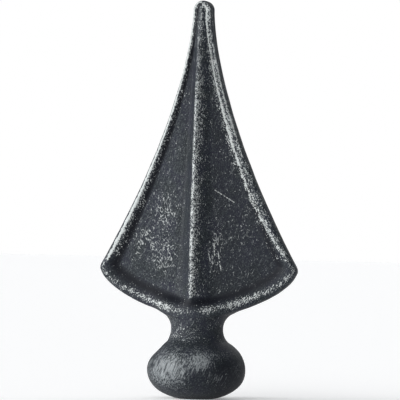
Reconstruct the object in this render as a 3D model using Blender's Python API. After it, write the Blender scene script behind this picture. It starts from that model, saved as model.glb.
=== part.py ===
"""A forged fence spike: a leaf-shaped blade with a raised rim and middle rib, a neck and a flattened ball.

Metres, +Z up. The origin is at the middle of the flat underside, the blade is widest along X and its front
faces -Y. The solid is the same on all four sides of its two middle planes, so one quarter is shaped and
mirrored.
"""

import math

import bpy
import numpy as np

# Overall sizes
HEIGHT = 0.150
BLADE_WIDTH = 0.0772
CORNER_HEIGHT = 0.0493

# Ball and flat underside
BALL_RADIUS = 0.01855
BALL_MIDDLE = 0.0110
FOOT_RADIUS = 0.0065
BALL_ROUNDNESS = 2.2

# Neck, a hollow round waist
NECK_RADIUS = 0.0098
NECK_HEIGHT = 0.0262
NECK_FILLET = 0.0068
NECK_TOP_ANGLE = math.radians(104.0)
NECK_FOOT_ANGLE = math.radians(225.0)
NECK_BOW = 2.0
PANEL_BOW = 1.3
JOIN_BELOW = 0.0050
JOIN_ABOVE = 0.0065
JOIN_ACROSS = 0.0050
JOIN_ROUNDS = 8

# Outline of the blade
TIP_RADIUS = 0.0036
SIDE_SWEEP = 1.58
BELLY_OUT = 0.95
BELLY_UP = 0.48
CORNER_ROUNDING = 0.0014

# Raised rim along the outline
RIM_DEPTH = 0.0032
RIM_WIDTH_TIP = 0.0023
RIM_WIDTH_CORNER = 0.0069
RIM_WIDTH_BELOW = 0.0082
RIM_CREST = 0.30
RIM_FALL = 0.27
RIM_SQUARENESS = 2.4
RIM_SWELL_REACH = 1.4
RIM_SWELL_POWER = 2.0

# Panels and middle rib
PANEL_SLOPE = 0.10
RIB_DEPTH = 0.0101
RIB_RISE_LENGTH = 0.034
RIB_BASE_TIP = 0.0012
RIB_BASE_BELOW = 0.0065
RIB_HOLLOW = 1.7
RIB_CREST_RADIUS = 0.0015

# How finely the quarter is divided
ARCH_STEPS = 5
SIDE_STEPS = 25
BELOW_STEPS = 9
NECK_STEPS = 8
RIM_SHARES = (0.0, 0.05, 0.15, RIM_CREST, 0.44, 0.60, 0.80, 1.0)
NECK_RINGS = 9
BALL_TOP_RINGS = 8
BALL_BELOW_RINGS = 7

PAINT_COLOUR = (0.055, 0.060, 0.070, 1.0)
PAINT_ROUGHNESS = 0.45
PAINT_METALLIC = 0.35

HALF_WIDTH = BLADE_WIDTH / 2
NECK_TOP_DEPTH = (NECK_RADIUS + RIB_DEPTH) / 2
BEND = ARCH_STEPS + SIDE_STEPS
MERGE_DISTANCE = 0.00001
SHARP_ANGLE = math.radians(30.0)


def clear_scene():
    for obj in list(bpy.data.objects):
        bpy.data.objects.remove(obj)


def neck_point(angle):
    """Radius and height on the neck's hollow arc: 180 degrees is the narrowest place, less is higher."""
    return NECK_RADIUS + NECK_FILLET * (1 + math.cos(angle)), NECK_HEIGHT + NECK_FILLET * math.sin(angle)


def side_point(share):
    """Side edge of the blade, from the foot of the tip's arch at 0 to the lower corner at 1."""
    top = HEIGHT - TIP_RADIUS
    z = top + (CORNER_HEIGHT - top) * share
    x = TIP_RADIUS + (HALF_WIDTH - TIP_RADIUS) * share**SIDE_SWEEP
    return np.array([x, z])


def below_point(share):
    """Lower edge of the blade, from the lower corner at 0 to the side of the neck at 1."""
    corner = np.array([HALF_WIDTH, CORNER_HEIGHT])
    end = np.array(neck_point(NECK_TOP_ANGLE))
    belly = end + (corner - end) * np.array([BELLY_OUT, BELLY_UP])
    return (1 - share) ** 2 * corner + 2 * share * (1 - share) * belly + share**2 * end


def inward(curve, share, step=1e-4):
    """Unit normal of an outline curve, pointing into the blade."""
    along = curve(share + step) - curve(share - step)
    normal = np.array([along[1], -along[0]])
    return normal / np.hypot(*normal)


def rim_width(x):
    """Width of the rim beside the side edge, where the blade's half width is x."""
    share = (x - TIP_RADIUS) / (HALF_WIDTH - TIP_RADIUS)
    return RIM_WIDTH_TIP + (RIM_WIDTH_CORNER - RIM_WIDTH_TIP) * share


def inner_corner():
    """Where the feet of the side rim and of the lower rim meet."""
    normals = np.array([inward(side_point, 1.0), inward(below_point, 0.0)])
    return side_point(1.0) + np.linalg.solve(normals, [RIM_WIDTH_CORNER, RIM_WIDTH_BELOW])


def foot_share(curve, towards, start, end):
    """Share along a curve where the normal passes through a point inside the blade."""
    for _ in range(40):
        middle = (start + end) / 2
        along = curve(middle + 1e-4) - curve(middle - 1e-4)
        if np.dot(towards - curve(middle), along) > 0:
            start = middle
        else:
            end = middle
    return (start + end) / 2


def rounded(points, corner, radius):
    """Rounds the bend of an open chain of points at one index and leaves what is further than radius."""
    points = [np.array(p) for p in points]
    bend = points[corner]
    before = points[corner - 1] - bend
    after = points[corner + 1] - bend
    before /= np.hypot(*before)
    after /= np.hypot(*after)
    made = []
    for index, point in enumerate(points):
        away = np.hypot(*(point - bend))
        if away >= radius or radius <= 0:
            made.append(point)
            continue
        side = -1 if index < corner else 1
        share = 0.5 + side * away / radius / 2
        start = bend + before * radius
        end = bend + after * radius
        made.append((1 - share) ** 2 * start + 2 * share * (1 - share) * bend + share**2 * end)
    return made


def neck_shares(rim_share):
    """Positions from the neck's side, 1, to the middle plane, 0, closer together at the blade's rib."""
    shares = []
    for step in range(1, NECK_STEPS + 1):
        left = 1 - step / NECK_STEPS
        on_ring = math.sin(math.pi / 2 * left)
        on_blade = left**1.5
        shares.append(on_ring + (on_blade - on_ring) * rim_share)
    return shares


def rim_line(share):
    """Points at a share of the rim's width: tip, side edge, corner, lower edge, middle of the neck."""
    radius = TIP_RADIUS - share * RIM_WIDTH_TIP
    centre = np.array([0.0, HEIGHT - TIP_RADIUS])
    line = []
    for step in range(ARCH_STEPS):
        angle = math.pi / 2 * step / ARCH_STEPS
        line.append(centre + radius * np.array([math.sin(angle), math.cos(angle)]))
    bend = side_point(1.0) + share * (inner_corner() - side_point(1.0))
    last = foot_share(side_point, bend, 0.5, 1.0)
    for step in range(SIDE_STEPS + 1):
        along = last * step / SIDE_STEPS
        edge = side_point(along)
        line.append(edge + share * rim_width(edge[0]) * inward(side_point, max(along, 1e-3)))
    first = foot_share(below_point, bend, 0.0, 0.5)
    for step in range(1, BELOW_STEPS + 1):
        along = first + (1 - first) * step / BELOW_STEPS
        line.append(below_point(along) + share * RIM_WIDTH_BELOW * inward(below_point, along))
    side_x, side_z = line[-1]
    normal = inward(below_point, 1.0)
    bow = NECK_BOW + (PANEL_BOW - NECK_BOW) * share
    middle_z = side_z + normal[0] / normal[1] * side_x / bow
    for across in neck_shares(share):
        line.append(np.array([side_x * across, middle_z + (side_z - middle_z) * across**bow]))
    return rounded(line, BEND, CORNER_ROUNDING * (1 - share))


def rib_depth(z):
    """Half thickness of the blade on the crest of the middle rib."""
    below_tip = HEIGHT - z
    return RIM_DEPTH + (RIB_DEPTH - RIM_DEPTH) * (1 - math.exp(-below_tip / RIB_RISE_LENGTH))


def panel_depth(x, z):
    """Half thickness inside the rim: a panel that rises to the middle, and the rib's hollow flank on it."""
    top = HEIGHT - TIP_RADIUS
    edge, _ = side_point(max(0.0, (top - z) / (top - CORNER_HEIGHT)))
    foot_x = edge - rim_width(edge)
    foot = RIM_DEPTH - RIM_FALL * rim_width(min(edge, HALF_WIDTH))
    base = RIB_BASE_TIP + (RIB_BASE_BELOW - RIB_BASE_TIP) * (foot_x / HALF_WIDTH) ** 0.7
    root = foot + PANEL_SLOPE * foot_x
    away = math.hypot(x, RIB_CREST_RADIUS) - RIB_CREST_RADIUS
    rib = max(0.0, rib_depth(z) - root) * max(0.0, 1 - away / base) ** RIB_HOLLOW
    return root - PANEL_SLOPE * x + rib


def neck_top_depth(x):
    """Half thickness of the neck where it runs into the blade, 0 at its side."""
    reach = neck_point(NECK_TOP_ANGLE)[0]
    return NECK_TOP_DEPTH * max(0.0, 1 - (x / reach) ** 2) ** 0.5


def crest_depth(x):
    """Half thickness on the crest of the lower rim, which swells to the rib's where it crosses the neck."""
    share = x / (RIM_SWELL_REACH * neck_point(NECK_TOP_ANGLE)[0])
    return RIM_DEPTH + (RIB_DEPTH - RIM_DEPTH) * max(0.0, 1 - share**2) ** RIM_SWELL_POWER


def rim_depth(share, outer, crest, foot):
    """Half thickness across the rim, from the outline at 0 over the crest to the panel at 1."""
    if share < RIM_CREST:
        rise = (1 - (1 - share / RIM_CREST) ** RIM_SQUARENESS) ** (1 / RIM_SQUARENESS)
        return outer + (crest - outer) * rise
    fall = 0.5 + 0.5 * math.cos(math.pi * (share - RIM_CREST) / (1 - RIM_CREST))
    return foot + (crest - foot) * fall


def blade_frame():
    """The rim of one quarter, as lines of (x, y, z) from the outline inwards."""
    lines = [rim_line(share) for share in RIM_SHARES]
    feet = [panel_depth(x, z) for x, z in lines[-1]]
    frame = []
    for share, line in zip(RIM_SHARES, lines):
        made = []
        for index, (x, z) in enumerate(line):
            outer = neck_top_depth(x) if index > BEND + BELOW_STEPS else 0.0
            crest = crest_depth(x) if index > BEND else RIM_DEPTH
            made.append((x, -rim_depth(share, outer, crest, feet[index]), z))
        frame.append(made)
    return frame


def blade_patch(foot_line):
    """Panel and half rib inside the rim's foot, in rows from the tip down, each from rim to middle."""
    below = foot_line[BEND:]
    top_z = foot_line[0][2]
    corner_x, _, corner_z = below[0]
    bottom_z = below[-1][2]
    rows = []
    for side in foot_line[1:BEND]:
        drop = (top_z - side[2]) / (top_z - corner_z)
        middle_z = top_z + (bottom_z - top_z) * drop
        row = [side]
        for step in range(1, len(below)):
            at_bottom = below[step][0] / corner_x
            at_top = 1 - step / (len(below) - 1)
            across = at_top + (at_bottom - at_top) * drop
            bow = (below[step][2] - bottom_z) / (corner_z - bottom_z) - at_bottom
            x = side[0] * across
            z = middle_z + (side[2] - middle_z) * (across + bow * drop**3)
            row.append((x, -panel_depth(x, z), z))
        rows.append(row)
    return rows


def neck_rings(first):
    """Rings of one quarter from the blade's lower end down the neck, each from its side to the middle."""
    top_radius, top_height = neck_point(NECK_TOP_ANGLE)
    rings = []
    for step in range(1, NECK_RINGS + 1):
        angle = NECK_TOP_ANGLE + (NECK_FOOT_ANGLE - NECK_TOP_ANGLE) * step / NECK_RINGS
        radius, height = neck_point(angle)
        saddle = max(0.0, (math.pi - angle) / (math.pi - NECK_TOP_ANGLE)) ** 2
        depth = radius if angle > math.pi else NECK_RADIUS + (NECK_TOP_DEPTH - NECK_RADIUS) * saddle
        across = radius / top_radius
        inwards = depth / NECK_TOP_DEPTH
        rings.append([(x * across, y * inwards, height + (z - top_height) * saddle) for x, y, z in first])
    return rings


def ball_profile():
    """Radius and height of the ball's rings, from the neck down to the edge of the flat underside."""
    top_radius, top_height = neck_point(NECK_FOOT_ANGLE)
    upper = (top_height - BALL_MIDDLE) / math.sqrt(1 - (top_radius / BALL_RADIUS) ** 2)
    start = math.asin((top_height - BALL_MIDDLE) / upper)
    profile = []
    for step in range(1, BALL_TOP_RINGS + 1):
        angle = start * (1 - step / BALL_TOP_RINGS)
        profile.append((BALL_RADIUS * math.cos(angle), BALL_MIDDLE + upper * math.sin(angle)))
    power = BALL_ROUNDNESS
    end = math.acos((FOOT_RADIUS / BALL_RADIUS) ** (power / 2))
    lower = BALL_MIDDLE / math.sin(end) ** (2 / power)
    for step in range(1, BALL_BELOW_RINGS + 1):
        angle = end * step / BALL_BELOW_RINGS
        radius = BALL_RADIUS * math.cos(angle) ** (2 / power)
        profile.append((radius, BALL_MIDDLE - lower * math.sin(angle) ** (2 / power)))
    return profile


def ball_rings():
    rings = []
    for radius, height in ball_profile():
        angles = [math.pi / 2 * (1 - step / NECK_STEPS) for step in range(NECK_STEPS + 1)]
        rings.append([(radius * math.sin(a), -radius * math.cos(a), height) for a in angles])
    return rings


def quarter_mesh():
    """Vertices and faces of the quarter at +X and -Y."""
    verts = []
    faces = []

    def add(points):
        verts.extend(tuple(map(float, p)) for p in points)
        return list(range(len(verts) - len(points), len(verts)))

    def strip(upper, lower):
        for a, b, c, d in zip(upper, upper[1:], lower[1:], lower):
            faces.append((a, b, c, d))

    frame_points = blade_frame()
    frame = [add(line) for line in frame_points]
    for outer, inner in zip(frame, frame[1:]):
        strip(inner, outer)
    foot = frame[-1]
    rows = [[foot[index + 1]] + add(row[1:]) for index, row in enumerate(blade_patch(frame_points[-1]))]
    rows.append(foot[BEND:])
    for left, right in zip(rows[0], rows[0][1:]):
        faces.append((foot[0], right, left))
    for upper, lower in zip(rows, rows[1:]):
        strip(upper, lower)
    neck_start = BEND + BELOW_STEPS
    ring = frame[0][neck_start:]
    for points in neck_rings(frame_points[0][neck_start:]) + ball_rings():
        below = add(points)
        strip(ring, below)
        ring = below
    centre = add([(0.0, 0.0, 0.0)])
    faces.append(tuple(ring + centre))
    return verts, faces


def join_weight(x, z):
    """How much a point is smoothed: 1 where the neck runs into the blade, 0 away from it."""
    reach, height = neck_point(NECK_TOP_ANGLE)
    above = max(0.0, z - height) / JOIN_ABOVE
    below = max(0.0, height - z) / JOIN_BELOW
    across = max(0.0, abs(x) - reach) / JOIN_ACROSS
    away = min(1.0, max(above, below, across))
    return 1 - away**2 * (3 - 2 * away)


def soften_join(spike):
    """Rounds the place where the neck, the lower rims and the rib run together, as a hammer leaves it."""
    group = spike.vertex_groups.new(name="join")
    for vertex in spike.data.vertices:
        x, _, z = vertex.co
        group.add([vertex.index], join_weight(x, z), "REPLACE")
    smooth = spike.modifiers.new("softened join", "SMOOTH")
    smooth.factor = 0.5
    smooth.iterations = JOIN_ROUNDS
    smooth.vertex_group = group.name


def paint():
    material = bpy.data.materials.new("dark_paint")
    material.use_nodes = True
    shader = material.node_tree.nodes["Principled BSDF"]
    shader.inputs["Base Color"].default_value = PAINT_COLOUR
    shader.inputs["Roughness"].default_value = PAINT_ROUGHNESS
    shader.inputs["Metallic"].default_value = PAINT_METALLIC
    return material


def make_spike():
    verts, faces = quarter_mesh()
    mesh = bpy.data.meshes.new("spike")
    mesh.from_pydata(verts, [], faces)
    mesh.update()
    mesh.shade_smooth()
    mesh.set_sharp_from_angle(angle=SHARP_ANGLE)
    spike = bpy.data.objects.new("spike", mesh)
    spike.data.materials.append(paint())
    mirror = spike.modifiers.new("both halves and both faces", "MIRROR")
    mirror.use_axis = (True, True, False)
    mirror.merge_threshold = MERGE_DISTANCE
    soften_join(spike)
    bpy.context.scene.collection.objects.link(spike)


clear_scene()
make_spike()
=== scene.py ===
"""Looks of the forged fence spike: one dark painted forging, dry-brushed with dull silver.

The form is worked out again from the frame's box with the same rules as the solid, but much finer. It
adds what the solid leaves out: the parting line, the hammered unevenness and the ball's flat shoulder.
"""

import math

import bpy
import numpy as np
from mathutils import Matrix, Vector, noise


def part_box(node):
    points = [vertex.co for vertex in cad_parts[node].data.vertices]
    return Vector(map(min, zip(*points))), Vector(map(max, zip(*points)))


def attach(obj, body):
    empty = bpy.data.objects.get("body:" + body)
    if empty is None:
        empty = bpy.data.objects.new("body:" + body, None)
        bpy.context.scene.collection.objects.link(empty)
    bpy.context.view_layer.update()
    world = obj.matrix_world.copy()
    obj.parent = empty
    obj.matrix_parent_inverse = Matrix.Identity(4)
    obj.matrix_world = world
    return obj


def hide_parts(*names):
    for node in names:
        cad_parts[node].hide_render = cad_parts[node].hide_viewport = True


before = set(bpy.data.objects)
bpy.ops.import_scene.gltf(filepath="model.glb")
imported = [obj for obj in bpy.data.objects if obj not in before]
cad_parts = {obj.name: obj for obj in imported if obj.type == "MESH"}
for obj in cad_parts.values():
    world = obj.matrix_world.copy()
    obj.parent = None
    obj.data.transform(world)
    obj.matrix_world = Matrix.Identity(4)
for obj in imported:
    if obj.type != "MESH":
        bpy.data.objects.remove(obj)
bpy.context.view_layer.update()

MM = 0.001
LOW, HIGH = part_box("spike")

# Sizes read from the frame
HEIGHT = HIGH.z - LOW.z
BALL_RADIUS = (HIGH.y - LOW.y) / 2

# Sizes of the same forging that the box doesn't tell
HALF_WIDTH = 38.6 * MM
CORNER_HEIGHT = 49.3 * MM
BALL_MIDDLE = 11.0 * MM
FOOT_RADIUS = 6.5 * MM
BALL_ROUNDNESS = 2.2
NECK_RADIUS = 9.8 * MM
NECK_HEIGHT = 26.2 * MM
NECK_FILLET = 6.8 * MM
NECK_TOP_ANGLE = math.radians(104.0)
NECK_FOOT_ANGLE = math.radians(225.0)
NECK_BOW = 2.0
PANEL_BOW = 1.3
JOIN_BELOW = 5.0 * MM
JOIN_ABOVE = 6.5 * MM
JOIN_ACROSS = 5.0 * MM
JOIN_ROUNDS = 110
JOIN_FACTOR = 0.5
TIP_RADIUS = 3.6 * MM
SIDE_SWEEP = 1.58
BELLY_OUT = 0.95
BELLY_UP = 0.48
CORNER_ROUNDING = 1.4 * MM
RIM_DEPTH = 3.2 * MM
RIM_WIDTH_TIP = 2.3 * MM
RIM_WIDTH_CORNER = 6.9 * MM
RIM_WIDTH_BELOW = 8.2 * MM
RIM_CREST = 0.30
RIM_FALL = 0.27
RIM_SQUARENESS = 2.4
RIM_SWELL_REACH = 1.4
RIM_SWELL_POWER = 2.0
PARTING_DEPTH = 0.22 * MM
PARTING_WIDTH = 0.45 * MM
SHOULDER_DEPTH = 1.6 * MM
SHOULDER_HEIGHT = 19.0 * MM
SHOULDER_REACH = 3.6 * MM
BLADE_STARTS = (34 * MM, 40 * MM)
PANEL_SLOPE = 0.10
RIB_DEPTH = 10.1 * MM
RIB_RISE_LENGTH = 34.0 * MM
RIB_BASE_TIP = 1.2 * MM
RIB_BASE_BELOW = 6.5 * MM
RIB_BASE_POWER = 0.7
RIB_HOLLOW = 1.7
RIB_CREST_RADIUS = 1.5 * MM
NECK_TOP_DEPTH = (NECK_RADIUS + RIB_DEPTH) / 2

# How finely a quarter is divided
ARCH_STEPS = 18
SIDE_STEPS = 140
BELOW_STEPS = 44
NECK_STEPS = 30
RIM_LINES = 26
NECK_RINGS = 34
BALL_TOP_RINGS = 26
BALL_BELOW_RINGS = 26
FOOT_RINGS = 5
BEND = ARCH_STEPS + SIDE_STEPS

# Spacing of the rim's lines, as parts and powers that crowd them on the rounded edge
RIM_SPACING = ((0.55, 3), (0.45, 1.6))

# Spacing across the blade's middle, and how fast the lower rim's bow fades in the rows above it
BLADE_SPACING = 1.5
BOW_FADE = 3

# Small steps of the reckoning: along a curve, to the first normal, off a middle plane, and halvings
CURVE_STEP = 1e-4
FIRST_NORMAL = 1e-3
ON_PLANE = 1e-9
HALVINGS = 40

# Marks of the parts of the skin that aren't the rim
PANEL, NECK, BALL = 1.5, -0.5, -1.5

# Hammered unevenness: size across and height of each layer of noise
DENT_LAYERS = ((9.0 * MM, 0.10 * MM), (3.2 * MM, 0.045 * MM), (1.1 * MM, 0.022 * MM))
DENT_SEED_STEP = 17.0
DENTS_START = (0.3 * MM, 2.0 * MM)

# From here to the scratches, lengths are in millimetres. A pair that a smooth step takes is where it
# starts and ends, and a pair that grown takes is an amount and what is added where the step is 1.

# Silver across the side rims: amount, and middle and spread past the crest as shares of the rim's width
SIDE_CREST = (1.15, -0.03, 0.10)
SIDE_SLOPE = (0.30, 0.2, 0.20)
SIDE_BASE = 0.08

# The broad band on the front's right rim, which higher up reaches further in and over the outer flank.
# Its silver is laid on thicker as a painted highlight where the inner slope faces the light
BAND_UPPER = (80, 105)
BAND_LEAST = 0.12
BAND_BOTTOM = 50
BAND_RISE = 38
BAND_REACH = (0.30, 0.95)
BAND_EDGE = (0.32, 0.36)
BAND_EDGE_INSET = 0.14
BAND_EDGE_SPREAD = 0.17
BAND_FLAT = (0.38, 0.06)
BAND_FADE_IN = -0.12
BAND_FADE_OUT = 0.10
BAND_OUTER_START = (-0.02, 0.03)
BAND_OUTER_END = (0.12, 0.08)
FLANK_SILVER = 0.50
FLANK_ENDS = (128, 138)
FLANK_PLACE = (0.15, 0.10)

# Silver on the lower rims, broader towards the neck and nearer to the outline at the corners
LOWER_RIM_ENDS = (50, 54)
CORNER_REACH = 37.5
LOWER_TOWARDS_CORNER = (14, 36)
LOWER_AMOUNT = (0.56, 0.14)
LOWER_SPREAD = (0.15, 0.07)
LOWER_BASE = 0.08
LOWER_CREST = (0.04, -0.14)
LOWER_CREST_MOVES = (24, 37)
OVER_NECK_LESS = 0.55
OVER_NECK_WIDTH = 6.0

# Silver on the rib, as amounts and reaches, and beside the foot of the right rim, thickened there as a
# painted highlight
RIB_STARTS = (34, 40)
NEAR_TIP = (105, 125)
NEAR_TIP_LESS = 0.12
RIB_BACK_CREST = (0.90, 0.8)
RIB_BACK_FLANK = (0.25, 2.4)
RIB_LEFT = 0.60
RIB_LEFT_EDGE = (-1.6, -0.6)
RIB_LEFT_TIP_LESS = 0.3
RIB_RIGHT = 0.46
RIB_RIGHT_WIDTH = (2.2, -0.8)
RIB_RIGHT_NARROWS = (110, 128)
RIB_RIGHT_FLANK = (0.16, 3.5)
FOOT_SILVER_AND_HIGHLIGHT = 0.58
FOOT_OUTSIDE = 0.3
FOOT_SPREAD = 1.7
FOOT_STARTS = (72, 92)
FOOT_ENDS = (132, 142)
PANEL_BASE = -0.12

# Silver on the neck and the ball. A spot is an amount, the x and z of its middle, and its two spreads
NECK_SILVER = (0.14, -0.12)
NECK_SILVER_FADES = (-2, 10)
NECK_SPOTS = ((0.22, -5.5, 23.5, 2.5, 1.6),)
BALL_SPOTS = ((0.14, -5, 13, 10, 6),)
BALL_BASE = 0.14

# Silver wiped on thinly: spots on the ball, and amounts elsewhere
BALL_VEIL = (
    (1.00, -6.5, 11.5, 9, 6.5),
    (0.85, 6.5, 14.5, 4, 4),
    (0.45, 17.5, 12, 1.5, 3),
    (0.42, 13, 17, 4, 2),
    (0.34, 12, 7.5, 4, 4),
    (-0.55, 5.5, 7.5, 3, 3.5),
)
BALL_VEIL_BASE = 0.20
BALL_VEIL_FADES = (5, 13)
BACK_VEIL = ((0.55, 5, 13, 8, 6),)
BACK_VEIL_BASE = 0.1
NECK_VEIL = (0.31, -0.17)
NECK_VEIL_FADES = (-3, 8)
RIM_VEIL = 0.05
# The front's left panel gets a little more veil than the others, as a painted sheen on the side that
# faces the light
LEFT_PANEL_VEIL_AND_SHEEN = 0.24
PANEL_VEIL = 0.20
PANEL_VEIL_STARTS = (2.0, 8.0)
PANEL_VEIL_UP = (0.7, 0.3)
PANEL_VEIL_RISES = (50, 72)

# Small curls of silver on the panels: spots over an even amount
FRONT_CURLS = (
    (0.85, -13.5, 71, 5, 7),
    (0.80, -21, 59, 5, 5),
    (0.85, -12.5, 53, 5, 7),
    (0.70, 7.5, 59, 2.0, 5),
    (0.60, 7.5, 52, 2.5, 4),
    (0.25, 16, 62, 9, 12),
)
FRONT_CURLS_BASE = 0.28
BACK_CURLS = ((0.55, 12, 60, 7, 9), (0.30, -11, 56, 8, 8))
BACK_CURLS_BASE = 0.22
CURLS_START = (2.5, 5.0)

# Painted shade in the rim's inner slope, left of the rib, over the right panel and low on the ball's
# right, and an even darker paint on the neck and the ball
# Painted shade on the rim's inner slope, as a middle and a spread in shares of the rim's width
SLOPE_SHADE = (RIM_CREST + 0.48, 0.27)
# Painted shade in the crease left of the rib
RIB_SIDE_STARTS = (0.2, 1.6)
RIB_SIDE_ENDS = (4.0, 9.0)
RIB_SIDE_UP = (34, 44)
LEFT_RIB_SHADE = 0.30
# Painted shade over the right panel, beginning a little way right of the rib
RIGHT_PANEL_SHADE = 0.40
RIGHT_PANEL_SHADE_STARTS = (2, 9)
# An even darker paint over the neck and the ball
ROUND_DARKER_PAINT = 0.25
# Painted shade low on the ball's right side
BALL_SHADE = 0.50
BALL_SHADE_ACROSS = (6, 14)
BALL_SHADE_UP = (11, 17)

# Scratches on the front's panels, as x and z in millimetres, and their half width
SCRATCHES = (
    ((5.9, 79.0), (14.9, 73.6), 0.22),
    ((8.3, 56.0), (9.9, 48.0), 0.28),
    ((6.9, 58.5), (7.3, 53.0), 0.24),
    ((5.0, 55.5), (6.0, 50.5), 0.20),
    ((-11.0, 59.5), (-11.4, 53.5), 0.26),
)

# Camera: turned to the object's right, a little below its middle, with a long lens
CAMERA_AZIMUTH = math.radians(15.9)
CAMERA_ELEVATION = math.radians(-1.0)
CAMERA_ROLL = math.radians(1.3)
CAMERA_DISTANCE = 1.20
CAMERA_AIM_DROP = 0.2 * MM
CAMERA_REACH = 200.0
FRAME_HEIGHT = 150.75 * MM
SENSOR = 36.0

# Colours of the finish
GREEN_BLACK = (0.0110, 0.0145, 0.0180, 1.0)
BLUE_BLACK = (0.0155, 0.0170, 0.0290, 1.0)
PALE_GRAIN = (0.042, 0.050, 0.054, 1.0)
# Painted shade, and the even darker paint on the neck and the ball
SHADE_AND_DARK_PAINT_BLACK = (0.0045, 0.0055, 0.0090, 1.0)
THIN_SILVER = (0.205, 0.222, 0.230, 1.0)
THICK_SILVER = (0.47, 0.495, 0.49, 1.0)

# Gloss and grain of the finish
SPECULAR_LEVEL = 0.14
PAINT_ROUGHNESS = 0.56
SILVER_ROUGHNESS = 0.64
SILVER_METALLIC = 0.25
GRAIN_STRENGTH = 0.6
GRAIN_HEIGHT = 0.10 * MM
SILVER_HEIGHT = 0.4
NOISE_ROUGHNESS = 0.6

# Heights between which the silver's strokes change their lean
STROKES_TURN = (48 * MM, 54 * MM)

# Weights of the noises and of the written amount in each kind of silver, and the sums where it shows
STIPPLE_WEIGHTS = {"grains": 0.9, "strokes": 0.75, "patches": 0.35, "amount": 0.42}
STIPPLE_SHOWS = (1.20, 1.34)
VEIL_WEIGHTS = {"streaks": 1.7, "grains": 0.5, "amount": 0.60}
VEIL_SHOWS = (1.34, 1.90)
CURL_WEIGHTS = {"breaks": 1.0, "amount": 0.34}
CURL_SHOWS = (0.70, 0.84)

# Curls: the noise's value on their line, how far from it they fade, their lean and how much they cover
CURL_MIDDLE = 0.5
CURL_LINE = (0.032, 0.010)
CURL_LEAN = 0.2
CURL_SILVER = 0.72

# Scratches: where the noise lets them show, how much thinner their core is, and how long their ends fade
SCRATCH_SHOWS = (0.45, 0.56)
SCRATCH_CORE = 3
SCRATCH_TAPER = 1.0

# Values of the noises where the paint's clouds and its pale grain show
CLOUDS_SHOW = (0.30, 0.70)
PALE_GRAIN_SHOWS = (0.44, 0.66)

# Floor, lights and surroundings
WHITE = (1.0, 1.0, 1.0, 1.0)
FLOOR_HALF = 60.0
FLOOR_COLOUR = (0.90, 0.90, 0.90, 1.0)
FLOOR_ROUGHNESS = 0.9
FLOOR_GLOW = 0.22
SKY_COLOUR = (0.93, 0.96, 1.0, 1.0)
SKY_STRENGTH = 0.25


def neck_point(angle):
    """Radius and height on the neck's hollow arc: 180 degrees is the narrowest place, less is higher."""
    radius = NECK_RADIUS + NECK_FILLET * (1 + math.cos(angle))
    return radius, NECK_HEIGHT + NECK_FILLET * math.sin(angle)


def side_point(share):
    """Side edge of the blade, from the foot of the tip's arch at 0 to the lower corner at 1."""
    top = HEIGHT - TIP_RADIUS
    z = top + (CORNER_HEIGHT - top) * share
    x = TIP_RADIUS + (HALF_WIDTH - TIP_RADIUS) * share**SIDE_SWEEP
    return np.array([x, z])


def below_point(share):
    """Lower edge of the blade, from the lower corner at 0 to the side of the neck at 1."""
    corner = np.array([HALF_WIDTH, CORNER_HEIGHT])
    end = np.array(neck_point(NECK_TOP_ANGLE))
    belly = end + (corner - end) * np.array([BELLY_OUT, BELLY_UP])
    return (1 - share) ** 2 * corner + 2 * share * (1 - share) * belly + share**2 * end


def along_curve(curve, share):
    """Short step along an outline curve."""
    return curve(share + CURVE_STEP) - curve(share - CURVE_STEP)


def inward(curve, share):
    """Unit normal of an outline curve, pointing into the blade."""
    along = along_curve(curve, share)
    normal = np.array([along[1], -along[0]])
    return normal / np.hypot(*normal)


def rim_width(x):
    """Width of the rim beside the side edge, where the blade's half width is x."""
    share = (x - TIP_RADIUS) / (HALF_WIDTH - TIP_RADIUS)
    return RIM_WIDTH_TIP + (RIM_WIDTH_CORNER - RIM_WIDTH_TIP) * share


def inner_corner():
    """Where the feet of the side rim and of the lower rim meet."""
    normals = np.array([inward(side_point, 1.0), inward(below_point, 0.0)])
    return side_point(1.0) + np.linalg.solve(normals, [RIM_WIDTH_CORNER, RIM_WIDTH_BELOW])


def foot_share(curve, towards, start, end):
    """Share along a curve where the normal passes through a point inside the blade."""
    for _ in range(HALVINGS):
        middle = (start + end) / 2
        if np.dot(towards - curve(middle), along_curve(curve, middle)) > 0:
            start = middle
        else:
            end = middle
    return (start + end) / 2


def rounded(points, corner, radius):
    """Rounds the bend of an open chain of points at one index, as far as radius from it."""
    points = [np.array(p) for p in points]
    bend = points[corner]
    before = points[corner - 1] - bend
    after = points[corner + 1] - bend
    before /= np.hypot(*before)
    after /= np.hypot(*after)
    made = []
    for index, point in enumerate(points):
        away = np.hypot(*(point - bend))
        if away >= radius or radius <= 0:
            made.append(point)
            continue
        side = -1 if index < corner else 1
        share = 0.5 + side * away / radius / 2
        start = bend + before * radius
        end = bend + after * radius
        made.append((1 - share) ** 2 * start + 2 * share * (1 - share) * bend + share**2 * end)
    return made


def neck_shares(rim_share):
    """Positions from the neck's side, 1, to the middle plane, 0, closer together at the blade's rib."""
    shares = []
    for step in range(1, NECK_STEPS + 1):
        left = 1 - step / NECK_STEPS
        on_ring = math.sin(math.pi / 2 * left)
        on_blade = left**BLADE_SPACING
        shares.append(on_ring + (on_blade - on_ring) * rim_share)
    return shares


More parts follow.
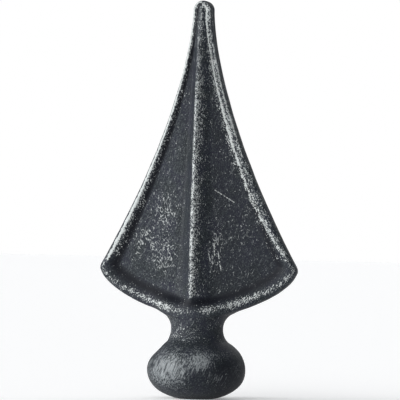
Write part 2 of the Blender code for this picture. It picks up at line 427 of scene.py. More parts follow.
def rim_line(share):
    """Points at a share of the rim's width: tip, side edge, corner, lower edge, middle of the neck."""
    radius = TIP_RADIUS - share * RIM_WIDTH_TIP
    centre = np.array([0.0, HEIGHT - TIP_RADIUS])
    line = []
    for step in range(ARCH_STEPS):
        angle = math.pi / 2 * step / ARCH_STEPS
        line.append(centre + radius * np.array([math.sin(angle), math.cos(angle)]))
    bend = side_point(1.0) + share * (inner_corner() - side_point(1.0))
    last = foot_share(side_point, bend, 0.5, 1.0)
    for step in range(SIDE_STEPS + 1):
        along = last * step / SIDE_STEPS
        edge = side_point(along)
        line.append(edge + share * rim_width(edge[0]) * inward(side_point, max(along, FIRST_NORMAL)))
    first = foot_share(below_point, bend, 0.0, 0.5)
    for step in range(1, BELOW_STEPS + 1):
        along = first + (1 - first) * step / BELOW_STEPS
        line.append(below_point(along) + share * RIM_WIDTH_BELOW * inward(below_point, along))
    side_x, side_z = line[-1]
    normal = inward(below_point, 1.0)
    bow = NECK_BOW + (PANEL_BOW - NECK_BOW) * share
    middle_z = side_z + normal[0] / normal[1] * side_x / bow
    for across in neck_shares(share):
        line.append(np.array([side_x * across, middle_z + (side_z - middle_z) * across**bow]))
    return rounded(line, BEND, CORNER_ROUNDING * (1 - share))


def rib_depth(z):
    """Half thickness of the blade on the crest of the middle rib."""
    below_tip = HEIGHT - z
    return RIM_DEPTH + (RIB_DEPTH - RIM_DEPTH) * (1 - math.exp(-below_tip / RIB_RISE_LENGTH))


def panel_depth(x, z):
    """Half thickness inside the rim: a panel that rises to the middle, and the rib on it."""
    top = HEIGHT - TIP_RADIUS
    edge, _ = side_point(max(0.0, (top - z) / (top - CORNER_HEIGHT)))
    foot_x = edge - rim_width(edge)
    foot = RIM_DEPTH - RIM_FALL * rim_width(min(edge, HALF_WIDTH))
    base = RIB_BASE_TIP + (RIB_BASE_BELOW - RIB_BASE_TIP) * (foot_x / HALF_WIDTH) ** RIB_BASE_POWER
    root = foot + PANEL_SLOPE * foot_x
    away = math.hypot(x, RIB_CREST_RADIUS) - RIB_CREST_RADIUS
    rib = max(0.0, rib_depth(z) - root) * max(0.0, 1 - away / base) ** RIB_HOLLOW
    return root - PANEL_SLOPE * x + rib


def neck_top_depth(x):
    """Half thickness of the neck where it runs into the blade, 0 at its side."""
    reach = neck_point(NECK_TOP_ANGLE)[0]
    return NECK_TOP_DEPTH * max(0.0, 1 - (x / reach) ** 2) ** 0.5


def crest_depth(x):
    """Half thickness on the crest of the lower rim, which swells to the rib's over the neck."""
    share = x / (RIM_SWELL_REACH * neck_point(NECK_TOP_ANGLE)[0])
    return RIM_DEPTH + (RIB_DEPTH - RIM_DEPTH) * max(0.0, 1 - share**2) ** RIM_SWELL_POWER


def rim_depth(share, outer, crest, foot):
    """Half thickness across the rim, from the outline at 0 over the crest to the panel at 1."""
    if share < RIM_CREST:
        rise = (1 - (1 - share / RIM_CREST) ** RIM_SQUARENESS) ** (1 / RIM_SQUARENESS)
        return outer + (crest - outer) * rise
    fall = 0.5 + 0.5 * math.cos(math.pi * (share - RIM_CREST) / (1 - RIM_CREST))
    return foot + (crest - foot) * fall


def rim_shares():
    """Shares of the rim's width for its lines, closest together on the rounded edge."""
    steps = [step / (RIM_LINES - 1) for step in range(RIM_LINES)]
    return [sum(part * step**power for part, power in RIM_SPACING) for step in steps]


def blade_frame():
    """The rim of one quarter, as lines of (x, y, z, share of the rim) from the outline inwards."""
    shares = rim_shares()
    lines = [rim_line(share) for share in shares]
    feet = [panel_depth(x, z) for x, z in lines[-1]]
    made = []
    for share, line in zip(shares, lines):
        points = []
        for index, (x, z) in enumerate(line):
            outer = neck_top_depth(x) if index > BEND + BELOW_STEPS else 0.0
            crest = crest_depth(x) if index > BEND else RIM_DEPTH
            points.append((x, -rim_depth(share, outer, crest, feet[index]), z, share))
        made.append(points)
    return made


def blade_patch(foot_line):
    """Panel and half rib inside the rim's foot, in rows from the tip down, each from rim to middle."""
    below = foot_line[BEND:]
    top_z = foot_line[0][2]
    corner_x, corner_z = below[0][0], below[0][2]
    bottom_z = below[-1][2]
    rows = []
    for side in foot_line[1:BEND]:
        drop = (top_z - side[2]) / (top_z - corner_z)
        middle_z = top_z + (bottom_z - top_z) * drop
        row = [side]
        for step in range(1, len(below)):
            at_bottom = below[step][0] / corner_x
            at_top = 1 - step / (len(below) - 1)
            across = at_top + (at_bottom - at_top) * drop
            bow = (below[step][2] - bottom_z) / (corner_z - bottom_z) - at_bottom
            x = side[0] * across
            z = middle_z + (side[2] - middle_z) * (across + bow * drop**BOW_FADE)
            row.append((x, -panel_depth(x, z), z, PANEL))
        rows.append(row)
    return rows


def neck_rings(first):
    """Rings of one quarter down the neck from the blade, each from its side to the middle."""
    top_radius, top_height = neck_point(NECK_TOP_ANGLE)
    rings = []
    for step in range(1, NECK_RINGS + 1):
        angle = NECK_TOP_ANGLE + (NECK_FOOT_ANGLE - NECK_TOP_ANGLE) * step / NECK_RINGS
        radius, height = neck_point(angle)
        saddle = max(0.0, (math.pi - angle) / (math.pi - NECK_TOP_ANGLE)) ** 2
        depth = radius if angle > math.pi else NECK_RADIUS + (NECK_TOP_DEPTH - NECK_RADIUS) * saddle
        across = radius / top_radius
        inwards = depth / NECK_TOP_DEPTH
        rise = height - top_height * saddle
        rings.append([(x * across, y * inwards, rise + z * saddle, NECK) for x, y, z, _ in first])
    return rings


def ball_profile():
    """Radius and height of the ball's rings, from the neck down to the middle of the flat underside."""
    top_radius, top_height = neck_point(NECK_FOOT_ANGLE)
    upper = (top_height - BALL_MIDDLE) / math.sqrt(1 - (top_radius / BALL_RADIUS) ** 2)
    start = math.asin((top_height - BALL_MIDDLE) / upper)
    profile = []
    for step in range(1, BALL_TOP_RINGS + 1):
        angle = start * (1 - step / BALL_TOP_RINGS)
        profile.append((BALL_RADIUS * math.cos(angle), BALL_MIDDLE + upper * math.sin(angle)))
    power = BALL_ROUNDNESS
    end = math.acos((FOOT_RADIUS / BALL_RADIUS) ** (power / 2))
    lower = BALL_MIDDLE / math.sin(end) ** (2 / power)
    for step in range(1, BALL_BELOW_RINGS + 1):
        angle = end * step / BALL_BELOW_RINGS
        radius = BALL_RADIUS * math.cos(angle) ** (2 / power)
        profile.append((radius, BALL_MIDDLE - lower * math.sin(angle) ** (2 / power)))
    for step in range(1, FOOT_RINGS):
        profile.append((FOOT_RADIUS * (1 - step / FOOT_RINGS), 0.0))
    return profile


def ball_rings():
    """Rings of one quarter round the ball, spaced as the neck's are."""
    rings = []
    for radius, height in ball_profile():
        angles = [math.pi / 2 * (1 - step / NECK_STEPS) for step in range(NECK_STEPS + 1)]
        rings.append([(radius * math.sin(a), -radius * math.cos(a), height, BALL) for a in angles])
    return rings


def quarter_surface():
    """Points and faces of the quarter at +X and -Y. A point is x, y, z and its mark.

    The mark is the share of the rim's width from 0 to 1, or PANEL, NECK or BALL.
    """
    points = []
    faces = []

    def add(row):
        points.extend(row)
        return list(range(len(points) - len(row), len(points)))

    def strip(upper, lower):
        for a, b, c, d in zip(upper, upper[1:], lower[1:], lower):
            faces.append((a, b, c, d))

    frame_points = blade_frame()
    rim = [add(line) for line in frame_points]
    for outer, inner in zip(rim, rim[1:]):
        strip(inner, outer)
    foot = rim[-1]
    rows = [[foot[index + 1]] + add(row[1:]) for index, row in enumerate(blade_patch(frame_points[-1]))]
    rows.append(foot[BEND:])
    for left, right in zip(rows[0], rows[0][1:]):
        faces.append((foot[0], right, left))
    for upper, lower in zip(rows, rows[1:]):
        strip(upper, lower)
    ring = rim[0][BEND + BELOW_STEPS:]
    for row in neck_rings(frame_points[0][BEND + BELOW_STEPS:]) + ball_rings():
        below = add(row)
        strip(ring, below)
        ring = below
    centre = add([(0.0, 0.0, 0.0, BALL)])
    for left, right in zip(ring, ring[1:]):
        faces.append((left, right, centre[0]))
    return np.array(points, float), faces


def whole_surface():
    """The four quarters joined along the two middle planes."""
    points, faces = quarter_surface()
    points[np.abs(points[:, 0]) < ON_PLANE, 0] = 0.0
    points[np.abs(points[:, 1]) < ON_PLANE, 1] = 0.0
    number = {}
    verts = []
    joined = []
    for flip_x in (1, -1):
        for flip_y in (1, -1):
            index = []
            for place, (x, y, z, mark) in enumerate(points):
                key = (place, flip_x if x else 0, flip_y if y else 0)
                if key not in number:
                    number[key] = len(verts)
                    verts.append((x * flip_x, y * flip_y, z, mark))
                index.append(number[key])
            for face in faces:
                corners = [index[c] for c in face]
                joined.append(corners if flip_x == flip_y else corners[::-1])
    return np.array(verts), joined


def smooth_step(low, high, value):
    """0 up to low and 1 from high on, with a smooth rise between them."""
    share = np.clip((value - low) / (high - low), 0.0, 1.0)
    return share * share * (3 - 2 * share)


def join_weights(verts):
    """How much each point is smoothed: 1 where the neck runs into the blade, 0 away from it."""
    reach, height = neck_point(NECK_TOP_ANGLE)
    above = np.maximum(0, verts[:, 2] - height) / JOIN_ABOVE
    below = np.maximum(0, height - verts[:, 2]) / JOIN_BELOW
    across = np.maximum(0, np.abs(verts[:, 0]) - reach) / JOIN_ACROSS
    away = np.minimum(1, np.maximum(above, np.maximum(below, across)))
    return 1 - smooth_step(0, 1, away)


def apply_modifiers(obj):
    """Applies an object's modifiers."""
    graph = bpy.context.evaluated_depsgraph_get()
    mesh = bpy.data.meshes.new_from_object(obj.evaluated_get(graph))
    obj.modifiers.clear()
    obj.data = mesh


def soften_join(obj, verts):
    """Rounds the place where the neck, the lower rims and the rib run together."""
    group = obj.vertex_groups.new(name="join")
    for index, weight in enumerate(join_weights(verts)):
        if weight > 0:
            group.add([index], float(weight), "REPLACE")
    smooth = obj.modifiers.new("softened join", "SMOOTH")
    smooth.factor = JOIN_FACTOR
    smooth.iterations = JOIN_ROUNDS
    smooth.vertex_group = group.name
    apply_modifiers(obj)


def parting_groove(places):
    """Depth of the shallow groove where the two dies met, round the edge of the blade."""
    blade = smooth_step(*BLADE_STARTS, places[:, 2])
    return PARTING_DEPTH * np.exp(-((places[:, 1] / PARTING_WIDTH) ** 2)) * blade


def flat_shoulder(places):
    """How far the ball's left shoulder was hammered in."""
    x, _, z = places.T
    cheek = smooth_step(0, BALL_RADIUS, -x)
    return SHOULDER_DEPTH * cheek * np.exp(-(((z - SHOULDER_HEIGHT) / SHOULDER_REACH) ** 2))


def noise_at(places, size, seed):
    """Smooth noise at each place, with lumps of one size."""
    return np.array([noise.noise(Vector(p) / size + Vector((seed, 0.0, 0.0))) for p in places])


def read_vectors(mesh, name):
    """One row of x, y and z for each of a mesh's points."""
    values = np.empty(len(mesh.vertices) * 3)
    mesh.vertices.foreach_get(name, values)
    return values.reshape(-1, 3)


def hammer(obj):
    """Lays the dents, the parting line and the flat shoulder on the skin, and keeps it in the box."""
    mesh = obj.data
    places = read_vectors(mesh, "co")
    normals = read_vectors(mesh, "normal")
    depth = np.zeros(len(places))
    for layer, (size, height) in enumerate(DENT_LAYERS):
        depth += height * noise_at(places, size, DENT_SEED_STEP * layer)
    off_foot = smooth_step(*DENTS_START, places[:, 2])
    places += normals * (depth * off_foot - parting_groove(places))[:, None]
    places[:, 0] += flat_shoulder(places)
    places = np.clip(places, np.array(LOW), np.array(HIGH))
    mesh.vertices.foreach_set("co", places.ravel())
    mesh.update()
    return places


def write_attribute(mesh, name, values):
    """Writes one value for each point, for the material to read."""
    layer = mesh.attributes.new(name, "FLOAT", "POINT")
    layer.data.foreach_set("value", np.asarray(values, np.float32))


def bell(value, middle, spread):
    """1 at the middle, falling off smoothly on both sides."""
    return np.exp(-(((value - middle) / spread) ** 2))


def grown(pair, share):
    """The first of two amounts, plus the second one times a share."""
    return pair[0] + pair[1] * share


def feathered(x, amount, reach):
    """An amount that fades on both sides of the middle."""
    return amount * np.exp(-np.abs(x) / reach)


def spots(x, z, chosen):
    """Sum of round spots, each an amount, the x and z of its middle, and its spreads in x and z."""
    total = 0.0
    for amount, middle_x, middle_z, spread_x, spread_z in chosen:
        away = -(((x - middle_x) / spread_x) ** 2) - ((z - middle_z) / spread_z) ** 2
        total = total + amount * np.exp(away)
    return total


def right_band_and_highlight(z, share):
    """The broad band on the front's right rim: an inner edge, a flat and, higher up, the outer flank."""
    # Painted highlight: the band is laid on thick where the right rim's inner slope faces the light
    inner = np.clip(BAND_REACH[0] + (z - BAND_BOTTOM) / BAND_RISE, *BAND_REACH)
    upper = smooth_step(*BAND_UPPER, z)
    edge = grown(BAND_EDGE, upper) * bell(share, inner - BAND_EDGE_INSET, BAND_EDGE_SPREAD)
    fade = 1 - smooth_step(inner + BAND_FADE_IN, inner + BAND_FADE_OUT, share)
    flat = grown(BAND_FLAT, upper) * fade
    outer = smooth_step(grown(BAND_OUTER_START, upper), grown(BAND_OUTER_END, upper), share)
    flank = FLANK_SILVER * upper * (1 - smooth_step(*FLANK_ENDS, z)) * bell(share, *FLANK_PLACE)
    return np.maximum((edge + flat) * outer + flank, BAND_LEAST)


def lower_silver(x, past):
    """Silver along the crest of the lower rims, thinner over the middle of the neck."""
    towards_neck = 1 - smooth_step(*LOWER_TOWARDS_CORNER, np.abs(x))
    crest = grown(LOWER_CREST, smooth_step(*LOWER_CREST_MOVES, np.abs(x)))
    amount = grown(LOWER_AMOUNT, towards_neck) * bell(past, crest, grown(LOWER_SPREAD, towards_neck))
    return (amount - LOWER_BASE) * (1 - OVER_NECK_LESS * bell(x, 0, OVER_NECK_WIDTH))


def rim_silver(x, z, front, share):
    """Silver on the rim: a bright line on the crest, but a broad band on the front's right side,
    thickened as a painted highlight.
    """
    past = share - RIM_CREST
    crest = SIDE_CREST[0] * bell(past, *SIDE_CREST[1:])
    slope = SIDE_SLOPE[0] * bell(past, *SIDE_SLOPE[1:])
    side = np.where(front & (x > 0), right_band_and_highlight(z, share), crest + slope + SIDE_BASE)
    low = (1 - smooth_step(*LOWER_RIM_ENDS, z)) * (np.abs(x) < CORNER_REACH)
    return side + (lower_silver(x, past) - side) * low


def rim_foot(z):
    """How far from the middle the side rim's foot lies at a height, in millimetres."""
    top = (HEIGHT - TIP_RADIUS) / MM
    share = np.clip((top - z) / (top - CORNER_HEIGHT / MM), 0, 1)
    edge = TIP_RADIUS + (HALF_WIDTH - TIP_RADIUS) * share**SIDE_SWEEP
    return (edge - rim_width(edge)) / MM


def rib_silver(x, z, front):
    """Silver on the rib: on the front sharp on the left of its crest and feathered to the right."""
    back = feathered(x, *RIB_BACK_CREST) + feathered(x, *RIB_BACK_FLANK)
    width = grown(RIB_RIGHT_WIDTH, smooth_step(*RIB_RIGHT_NARROWS, z))
    right = RIB_RIGHT * bell(x, 0.0, width) + feathered(x, *RIB_RIGHT_FLANK)
    near_tip = smooth_step(*NEAR_TIP, z)
    left = RIB_LEFT * smooth_step(*RIB_LEFT_EDGE, x) * (1 - RIB_LEFT_TIP_LESS * near_tip)
    rib = np.where(front, np.where(x < 0, left, right), back)
    return rib * (smooth_step(*RIB_STARTS, z) * (1 - NEAR_TIP_LESS * near_tip))


def foot_silver_and_highlight(x, z, front):
    """Silver on the panel beside the foot of the front's right rim, in the blade's upper half, thickened
    as a painted highlight.
    """
    along = bell(x, rim_foot(z) + FOOT_OUTSIDE, FOOT_SPREAD)
    amount = FOOT_SILVER_AND_HIGHLIGHT * along * smooth_step(*FOOT_STARTS, z) * (1 - smooth_step(*FOOT_ENDS, z))
    return np.where(front & (x > 0), amount, 0.0)


def panel_silver(x, z, front):
    """Silver inside the rim."""
    return np.maximum(rib_silver(x, z, front), np.maximum(foot_silver_and_highlight(x, z, front), PANEL_BASE))


def silver_amount(places, mark):
    """How thickly the silver is stippled on, with a painted highlight on and beside the front's right
    rim. Below 0 it keeps stray grains away.
    """
    x, y, z = places.T / MM
    front = y < 0
    neck = grown(NECK_SILVER, smooth_step(*NECK_SILVER_FADES, x)) + spots(x, z, NECK_SPOTS)
    ball = spots(x, z, BALL_SPOTS) - BALL_BASE
    amount = np.where(mark == PANEL, panel_silver(x, z, front), rim_silver(x, z, front, mark))
    amount = np.where(mark == NECK, neck, amount)
    return np.where(mark == BALL, ball, amount)


def veil_amount(places, mark):
    """How thickly the silver is wiped on as a thin veil: most on the ball's left cheek, and a little
    more on the front's left panel as a painted sheen.
    """
    x, y, z = places.T / MM
    front = y < 0
    ball = spots(x, z, BALL_VEIL) + BALL_VEIL_BASE * (1 - smooth_step(*BALL_VEIL_FADES, x))
    ball = np.where(front, ball, spots(x, z, BACK_VEIL) + BACK_VEIL_BASE)
    neck = grown(NECK_VEIL, smooth_step(*NECK_VEIL_FADES, x))
    veil = np.where(mark == BALL, ball, np.where(mark == NECK, neck, RIM_VEIL))
    panel = np.where(front & (x < 0), LEFT_PANEL_VEIL_AND_SHEEN, PANEL_VEIL)
    rise = grown(PANEL_VEIL_UP, smooth_step(*PANEL_VEIL_RISES, z))
    panel *= smooth_step(*PANEL_VEIL_STARTS, np.abs(x)) * rise
    return np.clip(np.where(mark == PANEL, panel, veil), 0, 1)


def curl_amount(places, mark):
    """How thickly small curls of silver lie on the panels, in loose clusters."""
    x, y, z = places.T / MM
    front = spots(x, z, FRONT_CURLS) + FRONT_CURLS_BASE
    back = spots(x, z, BACK_CURLS) + BACK_CURLS_BASE
    amount = np.clip(np.where(y < 0, front, back), 0, 1)
    return np.where(mark == PANEL, amount * smooth_step(*CURLS_START, np.abs(x)), 0.0)


def shade_and_dark_paint_amount(places, mark):
    """How far the paint is darkened: painted shade, most in the rim's inner slope and low on the ball's
    right, and an even darker paint on the neck and the ball.
    """
    x, _, z = places.T / MM
    starts = smooth_step(*RIB_SIDE_STARTS, np.abs(x))
    beside = starts * (1 - smooth_step(*RIB_SIDE_ENDS, np.abs(x))) * smooth_step(*RIB_SIDE_UP, z)
    # Painted shade over the right panel, and in the crease left of the rib
    right = RIGHT_PANEL_SHADE * smooth_step(*RIGHT_PANEL_SHADE_STARTS, x)
    panel = np.where(x < 0, LEFT_RIB_SHADE * beside, right)
    # Painted shade on the rim's inner slope
    amount = np.where(mark == PANEL, panel, bell(mark, *SLOPE_SHADE))
    amount = np.where(mark == NECK, ROUND_DARKER_PAINT, amount)
    # Painted shade low on the ball's right
    ball_right = smooth_step(*BALL_SHADE_ACROSS, x) * (1 - smooth_step(*BALL_SHADE_UP, z))
    return np.where(mark == BALL, ROUND_DARKER_PAINT + BALL_SHADE * ball_right, amount)


def node(tree, kind, **settings):
    """Adds a node of one kind to a tree, with its settings."""
    made = tree.nodes.new(kind)
    for name, value in settings.items():
        setattr(made, name, value)
    return made


def brushed_noise(tree, seed, along, across, lean=0.0, detail=2.0):
    """Noise drawn out along a direction in the plane of the blade, with sizes in millimetres.

    The lean is the direction's angle from the vertical, in radians.
    """
    coords = node(tree, "ShaderNodeTexCoord")
    turn = node(tree, "ShaderNodeMapping")
    turn.inputs["Rotation"].default_value = (0.0, lean, 0.0)
    turn.inputs["Location"].default_value = (seed, 0.0, 0.0)
    stretch = node(tree, "ShaderNodeMapping")
    finer = 1 / (across * MM)
    stretch.inputs["Scale"].default_value = (finer, finer, 1 / (along * MM))
    pattern = node(tree, "ShaderNodeTexNoise")
    pattern.inputs["Scale"].default_value = 1.0
    pattern.inputs["Detail"].default_value = detail
    pattern.inputs["Roughness"].default_value = NOISE_ROUGHNESS
    tree.links.new(coords.outputs["Object"], turn.inputs["Vector"])
    tree.links.new(turn.outputs["Vector"], stretch.inputs["Vector"])
    tree.links.new(stretch.outputs["Vector"], pattern.inputs["Vector"])
    return pattern.outputs["Fac"]


def math_node(tree, operation, first, second=0.0):
    """A calculation with sockets or plain numbers."""
    made = node(tree, "ShaderNodeMath", operation=operation)
    for socket, value in zip(made.inputs, (first, second)):
        if isinstance(value, (int, float)):
            socket.default_value = value
        else:
            tree.links.new(value, socket)
    return made.outputs[0]


def ramp(tree, value, low, high):
    """0 at low and 1 at high, which may be the smaller."""
    made = node(tree, "ShaderNodeMapRange", interpolation_type="SMOOTHSTEP")
    made.inputs["From Min"].default_value = min(low, high)
    made.inputs["From Max"].default_value = max(low, high)
    made.inputs["To Min"].default_value = 0.0 if low < high else 1.0
    made.inputs["To Max"].default_value = 1.0 if low < high else 0.0
    tree.links.new(value, made.inputs["Value"])
    return made.outputs["Result"]


def mix_value(tree, share, first, second):
    made = node(tree, "ShaderNodeMix", data_type="FLOAT")
    for name, value in (("Factor", share), ("A", first), ("B", second)):
        tree.links.new(value, made.inputs[name])
    return made.outputs["Result"]


def mix_colour(tree, share, first, second):
    made = node(tree, "ShaderNodeMix", data_type="RGBA")
    tree.links.new(share, made.inputs["Factor"])
    for socket, value in ((made.inputs["A"], first), (made.inputs["B"], second)):
        if isinstance(value, tuple):
            socket.default_value = value
        else:
            tree.links.new(value, socket)
    return made.outputs["Result"]


def attribute(tree, name):
    """A value written on the mesh's points."""
    return node(tree, "ShaderNodeAttribute", attribute_name=name).outputs["Fac"]


def weighed(tree, weights, **values):
    """Sum of values, each times its weight."""
    total = 0.0
    for name, value in values.items():
        total = math_node(tree, "ADD", math_node(tree, "MULTIPLY", value, weights[name]), total)
    return total


def stippled_silver(tree):
    """Broken cover of silver: grains and short slanted strokes, which lean the other way low down."""
    grains = brushed_noise(tree, seed=0.0, along=0.42, across=0.42, detail=1.5)
    down_right = brushed_noise(tree, seed=3.0, along=1.5, across=0.36, lean=math.radians(24.0))
    down_left = brushed_noise(tree, seed=7.0, along=1.7, across=0.36, lean=math.radians(-30.0))
    strokes = mix_value(tree, attribute(tree, "low"), down_right, down_left)
    patches = brushed_noise(tree, seed=11.0, along=3.0, across=3.0)
    amount = attribute(tree, "silver")
    values = {"grains": grains, "strokes": strokes, "patches": patches, "amount": amount}
    return ramp(tree, weighed(tree, STIPPLE_WEIGHTS, **values), *STIPPLE_SHOWS)


def silver_curls(tree):
    """Short curled lines, where a noise is at its middle value and a finer one lets it show."""
    field = brushed_noise(tree, seed=21.0, along=2.6, across=1.4, lean=CURL_LEAN, detail=1.5)
    away = math_node(tree, "ABSOLUTE", math_node(tree, "SUBTRACT", field, CURL_MIDDLE))
    line = ramp(tree, away, *CURL_LINE)
    breaks = brushed_noise(tree, seed=27.0, along=0.9, across=0.9)
    shown = weighed(tree, CURL_WEIGHTS, breaks=breaks, amount=attribute(tree, "curls"))
    broken = math_node(tree, "MULTIPLY", line, ramp(tree, shown, *CURL_SHOWS))
    return math_node(tree, "MULTIPLY", broken, CURL_SILVER)


def wiped_veil(tree):
    """Thin veil of silver, wiped on in slanted streaks."""
    streaks = brushed_noise(tree, seed=31.0, along=3.6, across=0.42, lean=math.radians(-24.0))
    grains = brushed_noise(tree, seed=37.0, along=0.50, across=0.36)
    shown = weighed(tree, VEIL_WEIGHTS, streaks=streaks, grains=grains, amount=attribute(tree, "veil"))
    return ramp(tree, shown, *VEIL_SHOWS)


def scratch(tree, start, end, width):
    """A thin line on the front from one place to another, given as x and z in millimetres."""
    coords = node(tree, "ShaderNodeTexCoord").outputs["Object"]
    middle = Vector(((start[0] + end[0]) / 2, 0.0, (start[1] + end[1]) / 2)) * MM
    lean = math.atan2(end[0] - start[0], end[1] - start[1])
    length = math.hypot(end[0] - start[0], end[1] - start[1])
    moved = node(tree, "ShaderNodeVectorMath", operation="SUBTRACT")
    moved.inputs[1].default_value = middle
    tree.links.new(coords, moved.inputs[0])
    turned = node(tree, "ShaderNodeMapping")
    turned.inputs["Rotation"].default_value = (0.0, -lean, 0.0)
    turned.inputs["Scale"].default_value = (1 / MM, 1 / MM, 1 / MM)
    tree.links.new(moved.outputs[0], turned.inputs["Vector"])
    parts = node(tree, "ShaderNodeSeparateXYZ")
    tree.links.new(turned.outputs["Vector"], parts.inputs[0])
    across = math_node(tree, "ABSOLUTE", parts.outputs["X"])
    along = math_node(tree, "ABSOLUTE", parts.outputs["Z"])
    front = ramp(tree, parts.outputs["Y"], 0.0, -1.0)
    line = math_node(tree, "MULTIPLY", ramp(tree, across, width, width / SCRATCH_CORE), front)
    return math_node(tree, "MULTIPLY", line, ramp(tree, along, length / 2, length / 2 - SCRATCH_TAPER))


def scratches(tree):
    """All the scratches, broken up by noise."""
    broken = ramp(tree, brushed_noise(tree, seed=41.0, along=0.8, across=0.5), *SCRATCH_SHOWS)
    total = 0.0
    for start, end, width in SCRATCHES:
        total = math_node(tree, "MAXIMUM", scratch(tree, start, end, width), total)
    return math_node(tree, "MULTIPLY", total, broken)


def paint_colour(tree):
    """Near-black paint, clouded from green to blue, with a paler grain, darkened by painted shade in the
    recesses and on the sides away from the light, and evenly on the neck and the ball.
    """
    clouds = ramp(tree, brushed_noise(tree, seed=51.0, along=8.0, across=6.0), *CLOUDS_SHOW)
    flats = mix_colour(tree, clouds, GREEN_BLACK, BLUE_BLACK)
    grain = ramp(tree, brushed_noise(tree, seed=57.0, along=0.55, across=0.45), *PALE_GRAIN_SHOWS)
    grainy = mix_colour(tree, grain, flats, PALE_GRAIN)
    return mix_colour(tree, attribute(tree, "shade_and_dark_paint"), grainy, SHADE_AND_DARK_PAINT_BLACK)


def skin_grain(tree, thick):
    """Bump of the paint's grain, with the thick silver standing a little proud."""
    grain = brushed_noise(tree, seed=61.0, along=0.5, across=0.5, detail=3.0)
    weights = {"grain": 1.0, "silver": SILVER_HEIGHT}
    bump = node(tree, "ShaderNodeBump")
    bump.inputs["Strength"].default_value = GRAIN_STRENGTH
    bump.inputs["Distance"].default_value = GRAIN_HEIGHT
    tree.links.new(weighed(tree, weights, grain=grain, silver=thick), bump.inputs["Height"])
    return bump.outputs["Normal"]


def patinated_paint():
    """Near-black satin paint under a thin, broken coat of dull silver, stippled and wiped on, with
    painted shade and painted highlights in its colour.
    """
    material = bpy.data.materials.new("patinated_paint")
    material.use_nodes = True
    tree = material.node_tree
    shader = tree.nodes["Principled BSDF"]
    shader.inputs["Specular IOR Level"].default_value = SPECULAR_LEVEL
    lines = math_node(tree, "MAXIMUM", silver_curls(tree), scratches(tree))
    thick = math_node(tree, "MAXIMUM", stippled_silver(tree), lines)
    veiled = mix_colour(tree, wiped_veil(tree), paint_colour(tree), THIN_SILVER)
    colour = mix_colour(tree, thick, veiled, THICK_SILVER)
    metallic = math_node(tree, "MULTIPLY", thick, SILVER_METALLIC)
    rough = node(tree, "ShaderNodeMapRange")
    rough.inputs["To Min"].default_value = PAINT_ROUGHNESS
    rough.inputs["To Max"].default_value = SILVER_ROUGHNESS
    tree.links.new(thick, rough.inputs["Value"])
    tree.links.new(colour, shader.inputs["Base Color"])
    tree.links.new(metallic, shader.inputs["Metallic"])
    tree.links.new(rough.outputs["Result"], shader.inputs["Roughness"])
    tree.links.new(skin_grain(tree, thick), shader.inputs["Normal"])
    return material


def make_spike():
    """The forged skin, with the amounts that its paint reads written on its points."""
    verts, faces = whole_surface()
    mesh = bpy.data.meshes.new("forged_spike")
    mesh.from_pydata(verts[:, :3].tolist(), [], faces)
    mesh.update()
    spike = bpy.data.objects.new("forged_spike", mesh)
    bpy.context.scene.collection.objects.link(spike)
    soften_join(spike, verts)
    places = hammer(spike)
    spike.data.shade_smooth()
    mark = verts[:, 3]
    write_attribute(spike.data, "silver", silver_amount(places, mark))
    write_attribute(spike.data, "veil", veil_amount(places, mark))
    write_attribute(spike.data, "curls", curl_amount(places, mark))
    write_attribute(spike.data, "shade_and_dark_paint", shade_and_dark_paint_amount(places, mark))
    write_attribute(spike.data, "low", 1 - smooth_step(*STROKES_TURN, places[:, 2]))
    spike.data.materials.append(patinated_paint())
    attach(spike, "root")
    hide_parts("spike")


def pale_floor():
    """Matt near-white, with a little light of its own so that it stays as pale as the background."""
    material = bpy.data.materials.new("pale_floor")
    material.use_nodes = True
    shader = material.node_tree.nodes["Principled BSDF"]
    shader.inputs["Base Color"].default_value = FLOOR_COLOUR
    shader.inputs["Roughness"].default_value = FLOOR_ROUGHNESS
    shader.inputs["Emission Color"].default_value = WHITE
    shader.inputs["Emission Strength"].default_value = FLOOR_GLOW
    return material


def make_floor():
    half = FLOOR_HALF
    corners = [(-half, -half, 0), (half, -half, 0), (half, half, 0), (-half, half, 0)]
    mesh = bpy.data.meshes.new("floor")
    mesh.from_pydata(corners, [], [(0, 1, 2, 3)])
    mesh.materials.append(pale_floor())
    floor = bpy.data.objects.new("floor", mesh)
    bpy.context.scene.collection.objects.link(floor)


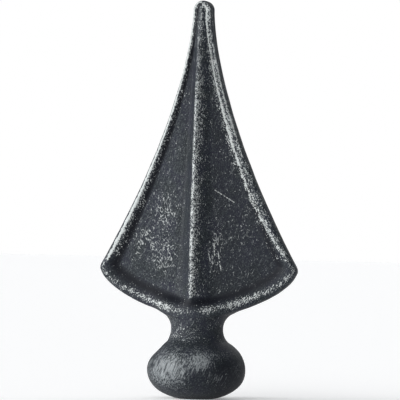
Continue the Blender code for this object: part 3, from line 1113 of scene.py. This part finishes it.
def make_sun(name, azimuth, elevation, strength, softness):
    """A large soft light, at degrees to the right of straight in front of the object and above it."""
    data = bpy.data.lights.new(name, "SUN")
    data.energy = strength
    data.angle = math.radians(softness)
    light = bpy.data.objects.new(name, data)
    side, up = math.radians(azimuth), math.radians(elevation)
    towards = Vector((math.sin(side) * math.cos(up), -math.cos(side) * math.cos(up), math.sin(up)))
    light.rotation_euler = towards.to_track_quat("Z", "Y").to_euler()
    bpy.context.scene.collection.objects.link(light)


def make_lights():
    make_sun("key", azimuth=-64.0, elevation=12.0, strength=3.8, softness=40.0)
    make_sun("fill", azimuth=-16.0, elevation=22.0, strength=1.55, softness=60.0)
    make_sun("back_light", azimuth=175.0, elevation=40.0, strength=0.7, softness=60.0)


def make_surroundings():
    """Soft even light all round, behind a plain white background."""
    world = bpy.data.worlds.new("studio")
    bpy.context.scene.world = world
    world.use_nodes = True
    tree = world.node_tree
    soft = tree.nodes["Background"]
    soft.inputs["Color"].default_value = SKY_COLOUR
    soft.inputs["Strength"].default_value = SKY_STRENGTH
    seen = node(tree, "ShaderNodeBackground")
    seen.inputs["Color"].default_value = WHITE
    direct = node(tree, "ShaderNodeLightPath").outputs["Is Camera Ray"]
    both = node(tree, "ShaderNodeMixShader")
    tree.links.new(direct, both.inputs["Fac"])
    tree.links.new(soft.outputs["Background"], both.inputs[1])
    tree.links.new(seen.outputs["Background"], both.inputs[2])
    tree.links.new(both.outputs["Shader"], tree.nodes["World Output"].inputs["Surface"])


def make_camera():
    data = bpy.data.cameras.new("camera")
    data.sensor_width = SENSOR
    data.lens = SENSOR * CAMERA_DISTANCE / FRAME_HEIGHT
    data.clip_end = CAMERA_REACH
    camera = bpy.data.objects.new("camera", data)
    bpy.context.scene.collection.objects.link(camera)
    flat = math.cos(CAMERA_ELEVATION)
    x, y = math.sin(CAMERA_AZIMUTH) * flat, -math.cos(CAMERA_AZIMUTH) * flat
    back = Vector((x, y, math.sin(CAMERA_ELEVATION)))
    camera.location = Vector((0.0, 0.0, HEIGHT / 2 - CAMERA_AIM_DROP)) + back * CAMERA_DISTANCE
    turned = (-back).to_track_quat("-Z", "Y").to_matrix() @ Matrix.Rotation(CAMERA_ROLL, 3, "Z")
    camera.rotation_euler = turned.to_euler()
    bpy.context.scene.camera = camera


make_camera()
make_spike()
make_floor()
make_lights()
make_surroundings()
bpy.context.scene.view_settings.view_transform = "Standard"
